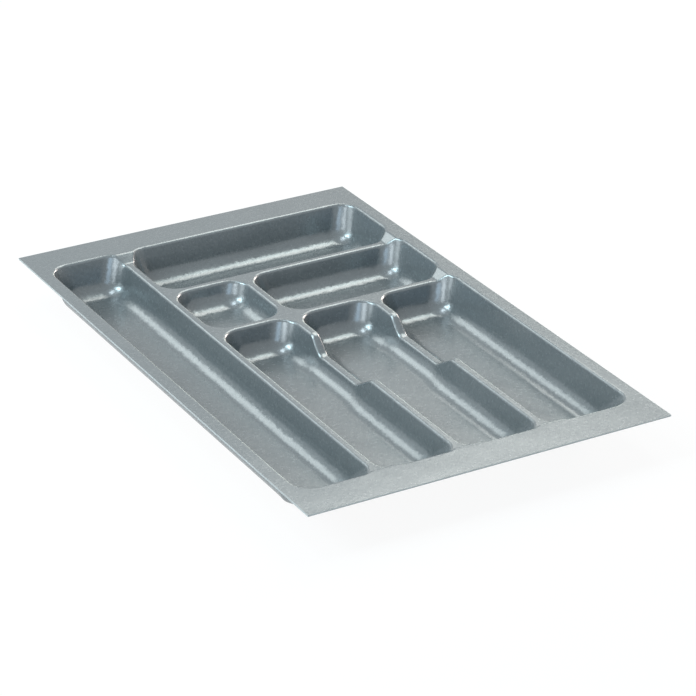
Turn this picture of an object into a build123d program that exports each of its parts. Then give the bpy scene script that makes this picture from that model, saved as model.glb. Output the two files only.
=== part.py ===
from build123d import *
from math import cos, radians, tan
import os

# A drawer's cutlery tray: one sheet of plastic, drawn down over a mould into
# seven compartments and trimmed square, so the whole tray is a single piece.
# Lengths are millimetres and angles are degrees. +X is the tray's right,
# +Y its rear and +Z up, as seen by whoever opens the drawer.
# The origin is the centre of the face that the tray stands on.

# Sheet and flange
sheet = 1.5  # thickness
side_flange = 12.5  # width of the flange left and right of the compartments
end_flange = 33.0  # width of the flange in front of and behind the compartments

# Compartments, measured level with the flange's top
long_pan_width = 69.7
left_slot_width = 69.5
middle_slot_width = 72.0
right_slot_width = 73.8
rear_pan_length = 79.7
middle_pan_length = 84.0
slot_length = 282.3
pan_depth = 32.5  # from the flange's top to the compartments' floor
small_pan_depth = 26.5  # the small square compartment is shallower
wall_draft = 13.0  # lean of every wall but those at the tray's front
front_lean = 45.0  # lean of the sloping walls at the tray's front
corner_radius = 17.0
floor_corner_radius = 20.0  # the corners widen towards the floor
floor_radius = 16.0  # where the walls run into the floors

# Dividers, whose crests lie below the flange and climb to it on short ramps
crest_width = 7.0
crest_drop = 6.5
rim_radius = 2.8  # rounding of the crests and of the compartments' rims
ramp_lean = 52.0
ramp_inset = 2.8  # from a compartment's outer rim to the upper end of a ramp
ramp_radius = 4.0
ramp_corner_radius = 14.0

# Finger dip, where the dividers between the three slots are lower
dip_drop = 14.0  # below the crests
dip_setback = 41.5  # from the slots' rear edge to the upper end of the dip's rear slope
dip_rear_run = 14.0
dip_floor_length = 59.5
dip_front_run = 22.5
dip_radius = 9.0
dip_wall_radius = 60.0  # where a slot's wall steps outwards beside the dip

overrun = 2.0  # how far a cut reaches past the face that it opens


def lean_in(drop, lean):
    """Return how far a wall of this lean comes inwards over this drop."""
    return drop * tan(radians(lean))


# Levels
flange_top = pan_depth + sheet
crest_level = flange_top - crest_drop
dip_level = crest_level - dip_drop

# Two neighbours are this far apart level with the flange's top, where their
# walls would be nearer than they are at the crest between them
pan_gap = crest_width - 2 * lean_in(crest_drop, wall_draft)

# Overall size, which the compartments and the flange add up to
pans_width = long_pan_width + left_slot_width + middle_slot_width + right_slot_width + 3 * pan_gap
pans_length = rear_pan_length + middle_pan_length + slot_length + 2 * pan_gap
tray_width = pans_width + 2 * side_flange
tray_length = pans_length + 2 * end_flange

# Compartment edges, level with the flange's top
left_rim = -pans_width / 2
right_rim = pans_width / 2
rear_rim = pans_length / 2
front_rim = -pans_length / 2
long_pan_right = left_rim + long_pan_width
left_slot_left = long_pan_right + pan_gap
left_slot_right = left_slot_left + left_slot_width
middle_slot_left = left_slot_right + pan_gap
middle_slot_right = middle_slot_left + middle_slot_width
right_slot_left = middle_slot_right + pan_gap
rear_pan_front = rear_rim - rear_pan_length
middle_pan_rear = rear_pan_front - pan_gap
middle_pan_front = middle_pan_rear - middle_pan_length
slot_rear = middle_pan_front - pan_gap

# Finger dip along the tray
dip_rear_top = slot_rear - dip_setback
dip_rear_foot = dip_rear_top - dip_rear_run
dip_front_foot = dip_rear_foot - dip_floor_length
dip_front_top = dip_front_foot - dip_front_run
dip_widening = lean_in(dip_drop, wall_draft)  # keeps the low crest as wide as the high one

# Each compartment: its left, right, rear and front edges, its depth, and
# whether the finger dip is on its left and on its right. Those that reach the
# tray's front end there in a slope that cutlery slides up.
pans = (
    (left_rim, long_pan_right, rear_rim, front_rim, pan_depth, False, False),
    (left_slot_left, right_rim, rear_rim, rear_pan_front, pan_depth, False, False),
    (left_slot_left, left_slot_right, middle_pan_rear, middle_pan_front, small_pan_depth, False, False),
    (middle_slot_left, right_rim, middle_pan_rear, middle_pan_front, pan_depth, False, False),
    (left_slot_left, left_slot_right, slot_rear, front_rim, pan_depth, False, True),
    (middle_slot_left, middle_slot_right, slot_rear, front_rim, pan_depth, True, True),
    (right_slot_left, right_rim, slot_rear, front_rim, pan_depth, True, False),
)


def side_points(wall, outwards, rear, front, dipped):
    """Return a side wall's points in plan, stepped outwards beside the finger dip."""
    if not dipped:
        return [(wall, rear), (wall, front)]
    stepped = wall + outwards * dip_widening
    return [
        (wall, rear),
        (wall, dip_rear_top),
        (stepped, dip_rear_foot),
        (stepped, dip_front_foot),
        (wall, dip_front_top),
        (wall, front),
    ]


def wall_shift(drop, lean, growth):
    """Return how far inwards a wall is at this drop, when it is this much thicker."""
    return lean_in(drop, lean) - growth / cos(radians(lean))


def pan_space(left, right, rear, front, depth, dip_left, dip_right, growth):
    """Return one compartment's space, grown all round by the thickness under its walls."""
    slopes = front == front_rim
    with BuildPart() as space:
        for drop, rounding in ((-overrun, corner_radius), (depth + growth, floor_corner_radius)):
            inset = wall_shift(drop, wall_draft, growth)
            rear_wall = rear - inset
            front_wall = front + (wall_shift(drop, front_lean, growth) if slopes else inset)
            left_side = side_points(left + inset, -1, rear_wall, front_wall, dip_left)
            right_side = side_points(right - inset, 1, rear_wall, front_wall, dip_right)
            with BuildSketch(Plane.XY.offset(flange_top - drop)) as plan:
                with BuildLine():
                    Polyline(*left_side, *reversed(right_side), close=True)
                make_face()
                steps = [point for row in plan.vertices().group_by(Axis.Y)[1:-1] for point in row]
                if steps:
                    fillet(steps, radius=dip_wall_radius)
                rows = plan.vertices().group_by(Axis.Y)
                fillet(rows[0] + rows[-1], radius=rounding + growth)
        loft(ruled=True)
        fillet(space.faces().sort_by(Axis.Z)[0].edges(), radius=floor_radius + growth)
    return space.part


def crest_space(growth):
    """Return the shallow space over the crests, with the ramps as its sides."""
    with BuildPart() as space:
        with BuildSketch(Plane.XY.offset(flange_top + overrun)):
            with Locations(((left_rim + right_rim) / 2, (rear_rim + front_rim) / 2)):
                RectangleRounded(
                    right_rim - left_rim - 2 * ramp_inset,
                    rear_rim - front_rim - 2 * ramp_inset,
                    ramp_corner_radius,
                )
            offset(amount=lean_in(overrun, ramp_lean) + growth / cos(radians(ramp_lean)))
        extrude(amount=-(overrun + crest_drop + growth), taper=ramp_lean)
        fillet(space.faces().sort_by(Axis.Z)[0].edges(), radius=ramp_radius + growth)
    return space.part


def dip_space(growth):
    """Return the finger dip's space, from the middle of the left slot to that of the right."""
    dip_left = (left_slot_left + left_slot_right) / 2
    dip_right = (right_slot_left + right_rim) / 2
    rear_overrun = overrun * dip_rear_run / dip_drop
    front_overrun = overrun * dip_front_run / dip_drop
    with BuildPart() as space:
        with BuildSketch(Plane.YZ.offset(dip_left)) as profile:
            with BuildLine():
                Polyline(
                    (dip_rear_top + rear_overrun, crest_level + overrun),
                    (dip_rear_foot, dip_level),
                    (dip_front_foot, dip_level),
                    (dip_front_top - front_overrun, crest_level + overrun),
                    close=True,
                )
            make_face()
            fillet(profile.vertices().group_by(Axis.Y)[0], radius=dip_radius)
            if growth:
                offset(amount=growth, kind=Kind.INTERSECTION)
        extrude(amount=dip_right - dip_left)
    return space.part


def mould_block(growth):
    """Return all that lies under the sheet's top face, or growth below that face."""
    spread = 2 * overrun if growth else 0
    spaces = [pan_space(*pan, growth) for pan in pans]
    over_crests = crest_space(growth)
    over_dip = dip_space(growth)
    with BuildPart() as block:
        with BuildSketch(Plane.XY.offset(flange_top - growth)):
            Rectangle(tray_width + spread, tray_length + spread)
        extrude(amount=-(flange_top + overrun + spread))
        add(over_crests, mode=Mode.SUBTRACT)
        fillet(block.edges(Select.NEW), radius=ramp_radius - growth)
        add(over_dip, mode=Mode.SUBTRACT)
        dip_ends = block.edges(Select.NEW).filter_by(Axis.X).group_by(Axis.Z)[-1]
        fillet(dip_ends, radius=dip_radius - growth)
        add(spaces, mode=Mode.SUBTRACT)
        fillet(block.edges(Select.NEW), radius=rim_radius - growth)
    return block.part


# The sheet is what lies between its top face and its lower face
top_block = mould_block(0)
lower_block = mould_block(sheet)
with BuildPart() as tray_shell:
    add(top_block)
    add(lower_block, mode=Mode.SUBTRACT)

os.makedirs("parts", exist_ok=True)
tray_shell.part.label = "tray_shell"
export_step(tray_shell.part, "parts/tray_shell.step")
print("tray_shell", round(tray_shell.part.volume / 1000, 1), "cm3", tray_shell.part.is_valid)
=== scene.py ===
"""Looks of a drawer's cutlery tray: its satin plastic, a plain studio and the camera.

Every length is in metres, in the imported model's own frame: +X is the tray's
right, +Y its rear and +Z up, and the origin is under the middle of the tray.
"""

import logging
import math
from dataclasses import dataclass
from enum import Enum

import bpy
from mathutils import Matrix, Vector


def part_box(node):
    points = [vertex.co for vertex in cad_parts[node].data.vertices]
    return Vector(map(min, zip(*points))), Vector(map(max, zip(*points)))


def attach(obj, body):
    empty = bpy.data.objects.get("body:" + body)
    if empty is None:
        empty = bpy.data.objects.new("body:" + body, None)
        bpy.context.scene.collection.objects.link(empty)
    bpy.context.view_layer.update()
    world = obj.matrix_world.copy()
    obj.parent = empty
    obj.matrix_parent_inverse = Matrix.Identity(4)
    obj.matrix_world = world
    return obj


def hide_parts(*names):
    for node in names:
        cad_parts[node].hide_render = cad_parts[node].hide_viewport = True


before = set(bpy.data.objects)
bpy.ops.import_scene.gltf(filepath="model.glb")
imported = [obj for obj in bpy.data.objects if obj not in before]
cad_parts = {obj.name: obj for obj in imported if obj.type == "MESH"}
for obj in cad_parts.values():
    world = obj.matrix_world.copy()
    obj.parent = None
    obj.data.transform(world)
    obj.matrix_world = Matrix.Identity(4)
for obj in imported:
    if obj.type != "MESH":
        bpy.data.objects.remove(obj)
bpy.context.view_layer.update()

log = logging.getLogger("cutlery_tray")

Colour = tuple[float, float, float]
Place = tuple[float, float, float]
Settings = dict[str, object]
Inputs = dict[str | int, object]

WHITE: Colour = (1.0, 1.0, 1.0)
OPAQUE = 1.0
FULL = 1.0  # a strength that takes nothing away
TRAY_FOOT: Place = (0.0, 0.0, 0.0)  # what every lamp is aimed at
NOISE_MIDDLE = 0.5  # a noise pattern lies as much above this as below it

# The sockets of a Mix node that mixes colours
MIX_SHARE = 0
MIX_FIRST = 6
MIX_SECOND = 7
MIX_RESULT = 2


class Sum(Enum):
    """What a Math node works out."""

    ADD = "ADD"
    SUBTRACT = "SUBTRACT"
    MULTIPLY = "MULTIPLY"
    WITHOUT_SIGN = "ABSOLUTE"
    LARGER = "MAXIMUM"


class Side(Enum):
    """Where a studio lamp stands round the tray."""

    OVERHEAD = "overhead"
    OVERHEAD_LEFT = "overhead_left"
    OVERHEAD_REAR = "overhead_rear"
    REAR = "rear"
    REAR_RIGHT = "rear_right"
    REAR_RIGHT_LOW = "rear_right_low"
    LEFT_ABOVE = "left_above"
    LEFT_LOW = "left_low"
    FRONT_LEFT = "front_left"
    FRONT = "front"


class Signal:
    """A number that varies over a surface or between rays, and takes part in sums."""

    def __init__(self, nodes: "NodeBook", socket: bpy.types.NodeSocket) -> None:
        """Keep the socket that gives the number, and the book that its nodes go into."""
        self.nodes = nodes
        self.socket = socket

    def _sum(self, kind: Sum, first: "Signal | float", second: "Signal | float") -> "Signal":
        """Work something out with one Math node.

        Args:
            kind: What the node works out.
            first: The first number.
            second: The second number.

        Returns:
            The result.
        """
        inputs = {0: first, 1: second}
        node = self.nodes.add("ShaderNodeMath", {"operation": kind.value}, inputs)
        return Signal(self.nodes, node.outputs[0])

    def __add__(self, other: "Signal | float") -> "Signal":
        """Return this plus the other."""
        return self._sum(Sum.ADD, self, other)

    def __radd__(self, other: float) -> "Signal":
        """Return the other plus this."""
        return self._sum(Sum.ADD, other, self)

    def __sub__(self, other: "Signal | float") -> "Signal":
        """Return this less the other."""
        return self._sum(Sum.SUBTRACT, self, other)

    def __rsub__(self, other: float) -> "Signal":
        """Return the other less this."""
        return self._sum(Sum.SUBTRACT, other, self)

    def __mul__(self, other: "Signal | float") -> "Signal":
        """Return this times the other."""
        return self._sum(Sum.MULTIPLY, self, other)

    def __rmul__(self, other: float) -> "Signal":
        """Return the other times this."""
        return self._sum(Sum.MULTIPLY, other, self)

    def __abs__(self) -> "Signal":
        """Return this without its sign."""
        return self._sum(Sum.WITHOUT_SIGN, self, 0.0)

    def larger(self, other: "Signal | float") -> "Signal":
        """Return the larger of this and the other."""
        return self._sum(Sum.LARGER, self, other)

    def ease(self, low: float, high: float) -> "Signal":
        """Turn this into a smooth step.

        Args:
            low: Where the step starts, below which it is 0.
            high: Where the step ends, above which it is 1.

        Returns:
            The step.
        """
        settings = {"interpolation_type": "SMOOTHSTEP"}
        inputs = {"Value": self, "From Min": low, "From Max": high}
        node = self.nodes.add("ShaderNodeMapRange", settings, inputs)
        return Signal(self.nodes, node.outputs[0])


@dataclass(frozen=True)
class Grain:
    """How fine a noise pattern is."""

    scale: float  # lumps in a metre
    layers: float = 1.0  # finer layers on top of the lumps
    layer_strength: float = 0.5  # of each layer, against the one before it


class NodeBook:
    """The nodes of one material or of the world."""

    def __init__(self, owner: bpy.types.Material | bpy.types.World) -> None:
        """Start with no nodes.

        Args:
            owner: The material or the world that the nodes are for.
        """
        owner.use_nodes = True
        self.tree = owner.node_tree
        self.tree.nodes.clear()

    def add(
        self, kind: str, settings: Settings | None = None, inputs: Inputs | None = None
    ) -> bpy.types.Node:
        """Add one node, with its settings first and then its sockets.

        Args:
            kind: The node's type.
            settings: The node's own properties.
            inputs: A value, a Signal or an output socket for each input socket, by
                the socket's name or number.

        Returns:
            The new node.
        """
        node = self.tree.nodes.new(kind)
        for name, value in (settings or {}).items():
            setattr(node, name, value)
        for key, value in (inputs or {}).items():
            source = value.socket if isinstance(value, Signal) else value
            if isinstance(source, bpy.types.NodeSocket):
                self.tree.links.new(source, node.inputs[key])
            else:
                node.inputs[key].default_value = source
        return node

    def mix(
        self,
        share: "Signal | float",
        first: "Colour | bpy.types.NodeSocket",
        second: "Colour | bpy.types.NodeSocket",
    ) -> bpy.types.NodeSocket:
        """Mix two colours.

        Args:
            share: The share of the second colour.
            first: The first colour.
            second: The second colour.

        Returns:
            The socket that gives the mixed colour.
        """
        inputs: Inputs = {MIX_SHARE: share}
        for key, colour in ((MIX_FIRST, first), (MIX_SECOND, second)):
            inputs[key] = (*colour, OPAQUE) if isinstance(colour, tuple) else colour
        node = self.add("ShaderNodeMix", {"data_type": "RGBA", "blend_type": "MIX"}, inputs)
        return node.outputs[MIX_RESULT]

    def noise(self, place: bpy.types.NodeSocket, grain: Grain) -> Signal:
        """Add a noise pattern.

        Args:
            place: The socket that gives the place on the piece.
            grain: How fine the pattern is.

        Returns:
            The pattern, from 0 to 1.
        """
        inputs = {
            "Vector": place,
            "Scale": grain.scale,
            "Detail": grain.layers,
            "Roughness": grain.layer_strength,
        }
        node = self.add("ShaderNodeTexNoise", {"noise_dimensions": "3D"}, inputs)
        return Signal(self, node.outputs[0])

    def relief(
        self, height: Signal, metres: float, below: bpy.types.NodeSocket | None = None
    ) -> bpy.types.NodeSocket:
        """Add a shallow relief to a surface.

        Args:
            height: The relief's pattern, from 0 to 1.
            metres: How high the pattern's 1 stands.
            below: The normal of a coarser relief that this one lies on.

        Returns:
            The socket that gives the surface's normal.
        """
        inputs: Inputs = {"Strength": FULL, "Distance": metres, "Height": height}
        if below is not None:
            inputs["Normal"] = below
        return self.add("ShaderNodeBump", None, inputs).outputs[0]

    def place(self) -> tuple[bpy.types.NodeSocket, Signal, Signal]:
        """Add the place on the piece.

        Returns:
            The place, how far it is to the right and how far to the rear.
        """
        place = self.add("ShaderNodeTexCoord").outputs["Object"]
        parts = self.add("ShaderNodeSeparateXYZ", None, {0: place})
        return place, Signal(self, parts.outputs["X"]), Signal(self, parts.outputs["Y"])

    def seen(self) -> Signal:
        """Tell what is seen, directly, in gloss or through glass, from what only lights.

        Returns:
            1 for a ray that is seen and 0 for one that only lights.
        """
        path = self.add("ShaderNodeLightPath")
        names = ("Is Camera Ray", "Is Glossy Ray", "Is Transmission Ray")
        camera, glossy, through = (Signal(self, path.outputs[name]) for name in names)
        return camera.larger(glossy).larger(through)


@dataclass(frozen=True)
class SatinSheet:
    """Silver-grey plastic sheet with metal flakes in it and a satin, finely grained face."""

    name: str = "satin_silver_sheet"
    roughness: float = 0.26
    metal_share: float = 0.5
    ior: float = 1.5

    # The mottle between two greys, which speckles and clouds make together
    tone: Colour = (0.180, 0.198, 0.206)
    shade: Colour = (0.162, 0.180, 0.188)
    speckles: Grain = Grain(330.0)
    clouds: Grain = Grain(22.0, 3.0, 0.55)
    speckle_share: float = 0.6
    cloud_share: float = 0.4
    mottle_step: tuple[float, float] = (0.32, 0.68)
    roughness_swing: float = 0.10  # from where the speckles are darkest to where lightest

    # The paler flakes
    fleck: Colour = (0.21, 0.23, 0.235)
    flecks: Grain = Grain(462.0)
    fleck_step: tuple[float, float] = (0.45, 0.75)
    fleck_share: float = 0.4

    # The relief: a fine grain on long waves
    grain: Grain = Grain(360.0)
    grain_height: float = 0.00006
    waves: Grain = Grain(34.0, 1.0, 0.4)
    wave_height: float = 0.0003

    # A painted highlight on the trimmed edge all round the flange: a lighter colour
    # that starts at one distance from the tray's outermost face and is whole at the other
    cut_highlight_tone: Colour = (0.40, 0.42, 0.42)
    cut_roughness: float = 0.25  # what it adds to the roughness
    cut_start: float = 0.00012
    cut_whole: float = 0.000048

    def make(self, half_width: float, half_length: float) -> bpy.types.Material:
        """Make the material.

        Args:
            half_width: Half the tray's width, where its side edges are cut.
            half_length: Half the tray's length, where its end edges are cut.

        Returns:
            The finished material.
        """
        material = bpy.data.materials.new(self.name)
        nodes = NodeBook(material)
        place, across, along = nodes.place()
        clouds = nodes.noise(place, self.clouds)
        speckles = nodes.noise(place, self.speckles)
        flecks = nodes.noise(place, self.flecks).ease(*self.fleck_step)
        mottle = self.speckle_share * speckles + self.cloud_share * clouds
        colour = nodes.mix(mottle.ease(*self.mottle_step), self.shade, self.tone)
        colour = nodes.mix(self.fleck_share * flecks, colour, self.fleck)
        cut = self.edge(across, half_width).larger(self.edge(along, half_length))
        # the flange's cut edge gets a painted highlight, a lighter colour than the sheet
        colour = nodes.mix(cut, colour, self.cut_highlight_tone)
        swing = self.roughness_swing * (speckles - NOISE_MIDDLE)
        roughness = self.roughness + swing + self.cut_roughness * cut
        grain = nodes.noise(place, self.grain)
        waves = nodes.relief(nodes.noise(place, self.waves), self.wave_height)
        inputs = {
            "Base Color": colour,
            "Metallic": self.metal_share,
            "Roughness": roughness,
            "IOR": self.ior,
            "Normal": nodes.relief(grain, self.grain_height, waves),
        }
        surface = nodes.add("ShaderNodeBsdfPrincipled", None, inputs)
        nodes.add("ShaderNodeOutputMaterial", None, {"Surface": surface.outputs[0]})
        return material

    def edge(self, distance: Signal, half_size: float) -> Signal:
        """Return 1 on the two cut edges that are half a size from the tray's middle."""
        return abs(distance).ease(half_size - self.cut_start, half_size - self.cut_whole)


@dataclass(frozen=True)
class PaleFloor:
    """Matt white that shows nearly full white and keeps the tray's shadow."""

    name: str = "pale_floor"
    tone: Colour = (0.86, 0.86, 0.86)
    white_share: float = 0.93

    def make(self) -> bpy.types.Material:
        """Make the material.

        Returns:
            The finished material.
        """
        material = bpy.data.materials.new(self.name)
        nodes = NodeBook(material)
        matt = nodes.add("ShaderNodeBsdfDiffuse", None, {"Color": (*self.tone, OPAQUE)})
        white = nodes.add("ShaderNodeEmission", None, {"Strength": FULL})
        share = self.white_share * nodes.seen()
        inputs = {0: share, 1: matt.outputs[0], 2: white.outputs[0]}
        surface = nodes.add("ShaderNodeMixShader", None, inputs)
        nodes.add("ShaderNodeOutputMaterial", None, {"Surface": surface.outputs[0]})
        return material


@dataclass(frozen=True)
class WhiteSurround:
    """World that shows white and lights the tray only a little."""

    name: str = "white_surround"
    light: Colour = (0.20, 0.29, 0.35)

    def make(self) -> bpy.types.World:
        """Make the world.

        Returns:
            The finished world.
        """
        world = bpy.data.worlds.new(self.name)
        nodes = NodeBook(world)
        colour = nodes.mix(nodes.seen(), self.light, WHITE)
        sky = nodes.add("ShaderNodeBackground", None, {"Color": colour, "Strength": FULL})
        nodes.add("ShaderNodeOutputWorld", None, {"Surface": sky.outputs[0]})
        return world


@dataclass
class TrayShell:
    """The one formed sheet that is the whole tray."""

    node: str = "tray_shell"
    piece_name: str = "tray_skin"
    body: str = "root"
    weld: float = 0.000002  # points that are nearer than this are merged
    sharp_above: float = 75.0  # degrees between two faces, as along the flange's cut edge
    large_face_weight: int = 80  # over 50, the large faces decide more of the shading

    def build(self) -> bpy.types.Object:
        """Make the sheet's smooth skin from a copy of its solid.

        Returns:
            The skin.
        """
        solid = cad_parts[self.node]
        skin = bpy.data.objects.new(self.piece_name, solid.data.copy())
        bpy.context.scene.collection.objects.link(skin)
        bpy.ops.object.select_all(action="DESELECT")
        skin.select_set(True)
        bpy.context.view_layer.objects.active = skin
        bpy.ops.object.mode_set(mode="EDIT")
        bpy.ops.mesh.select_all(action="SELECT")
        bpy.ops.mesh.customdata_custom_splitnormals_clear()
        bpy.ops.mesh.remove_doubles(threshold=self.weld)
        bpy.ops.object.mode_set(mode="OBJECT")
        bpy.ops.object.shade_smooth_by_angle(angle=math.radians(self.sharp_above))
        bpy.ops.object.modifier_add(type="WEIGHTED_NORMAL")
        even = skin.modifiers[-1]
        even.mode = "FACE_AREA"
        even.weight = self.large_face_weight
        even.keep_sharp = True
        bpy.ops.object.modifier_apply(modifier=even.name)
        return skin

    def dress(self, skin: bpy.types.Object, finish: SatinSheet) -> None:
        """Give the skin its finish and put it in the solid's place.

        Args:
            skin: The skin that build made.
            finish: The sheet's finish.
        """
        _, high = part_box(self.node)
        skin.data.materials.clear()
        skin.data.materials.append(finish.make(high.x, high.y))
        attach(skin, self.body)
        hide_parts(self.node)


@dataclass(frozen=True)
class Lamp:
    """One soft, round studio lamp, aimed at the tray."""

    side: Side
    place: Place
    size: float
    watts: float
    colour: Colour

    def build(self) -> None:
        """Hang the lamp."""
        data = bpy.data.lights.new(self.side.value, "AREA")
        data.shape = "DISK"
        data.size = self.size
        data.energy = self.watts
        data.color = self.colour
        lamp = bpy.data.objects.new(self.side.value, data)
        lamp.location = self.place
        aim = Vector(TRAY_FOOT) - Vector(self.place)
        lamp.rotation_euler = aim.to_track_quat("-Z", "Y").to_euler()
        bpy.context.scene.collection.objects.link(lamp)


@dataclass(frozen=True)
class PhotoCamera:
    """The camera, where the photograph was taken."""

    name: str = "photo_camera"
    place: Place = (-1.055, -1.898, 1.087)
    azimuth: float = -29.52  # degrees round the tray from its front, here to the left
    elevation: float = 26.18  # degrees that it looks down
    lens: float = 151.97  # in millimetres, and so is the film
    film_width: float = 36.0
    sight: float = 50.0  # how far it sees

    def build(self) -> None:
        """Stand the camera in its place."""
        data = bpy.data.cameras.new(self.name)
        data.lens = self.lens
        data.sensor_width = self.film_width
        data.clip_end = self.sight
        camera = bpy.data.objects.new(self.name, data)
        camera.location = self.place
        tilt = math.radians(90.0 - self.elevation)
        camera.rotation_euler = (tilt, 0.0, math.radians(self.azimuth))
        bpy.context.scene.collection.objects.link(camera)
        bpy.context.scene.camera = camera


@dataclass
class Studio:
    """The camera, the plain floor and the soft light."""

    camera: PhotoCamera = PhotoCamera()
    surround: WhiteSurround = WhiteSurround()
    floor: PaleFloor = PaleFloor()
    floor_size: float = 12.0
    floor_drop: float = 0.0006  # below the tray, so that the two don't touch
    lamps: tuple[Lamp, ...] = (
        Lamp(Side.OVERHEAD, (0.8, 0.25, 1.5), 0.5, 3.5, (0.93, 1.0, 0.95)),
        Lamp(Side.OVERHEAD_LEFT, (-0.5, 0.2, 1.5), 0.4, 4.6, (0.85, 0.95, 1.0)),
        Lamp(Side.OVERHEAD_REAR, (0.7, 0.75, 1.2), 0.85, 8.4, (1.0, 0.97, 0.90)),
        Lamp(Side.REAR, (-0.45, 1.42, 1.07), 0.75, 4.8, (0.96, 1.0, 0.98)),
        Lamp(Side.REAR_RIGHT, (1.7, 0.7, 0.6), 0.8, 24.0, (1.0, 0.83, 0.75)),
        Lamp(Side.REAR_RIGHT_LOW, (1.3, 1.5, 0.25), 0.6, 3.0, (0.93, 1.0, 0.88)),
        Lamp(Side.LEFT_ABOVE, (-1.3, 0.3, 1.1), 0.8, 24.0, (0.74, 0.94, 1.0)),
        Lamp(Side.LEFT_LOW, (-1.8, 0.2, 0.4), 0.8, 4.0, (0.94, 0.98, 1.0)),
        Lamp(Side.FRONT_LEFT, (-1.6, -1.0, 0.35), 0.8, 8.4, (0.91, 0.96, 1.0)),
        Lamp(Side.FRONT, (-0.9, -1.7, 0.4), 0.8, 5.0, (0.60, 0.80, 1.0)),
    )

    def lay_floor(self) -> None:
        """Lay the floor under the tray."""
        bpy.ops.object.select_all(action="DESELECT")
        place = (0.0, 0.0, -self.floor_drop)
        bpy.ops.mesh.primitive_plane_add(size=self.floor_size, location=place)
        floor = bpy.context.active_object
        floor.name = "studio_floor"
        floor.data.materials.append(self.floor.make())

    def build(self) -> None:
        """Set up the whole studio."""
        self.camera.build()
        self.lay_floor()
        bpy.context.scene.world = self.surround.make()
        for lamp in self.lamps:
            lamp.build()
            log.info("lamp %s: %.1f W", lamp.side.value, lamp.watts)
        bpy.context.scene.view_settings.view_transform = "Standard"


def main() -> None:
    """Build the studio and the tray, and report each piece."""
    logging.basicConfig(level=logging.INFO, format="%(message)s")
    Studio().build()
    shell = TrayShell()
    skin = shell.build()
    shell.dress(skin, SatinSheet())
    finish_name = skin.data.materials[0].name
    log.info("%s: %d faces, %s", skin.name, len(skin.data.polygons), finish_name)


if __name__ == "__main__":
    main()
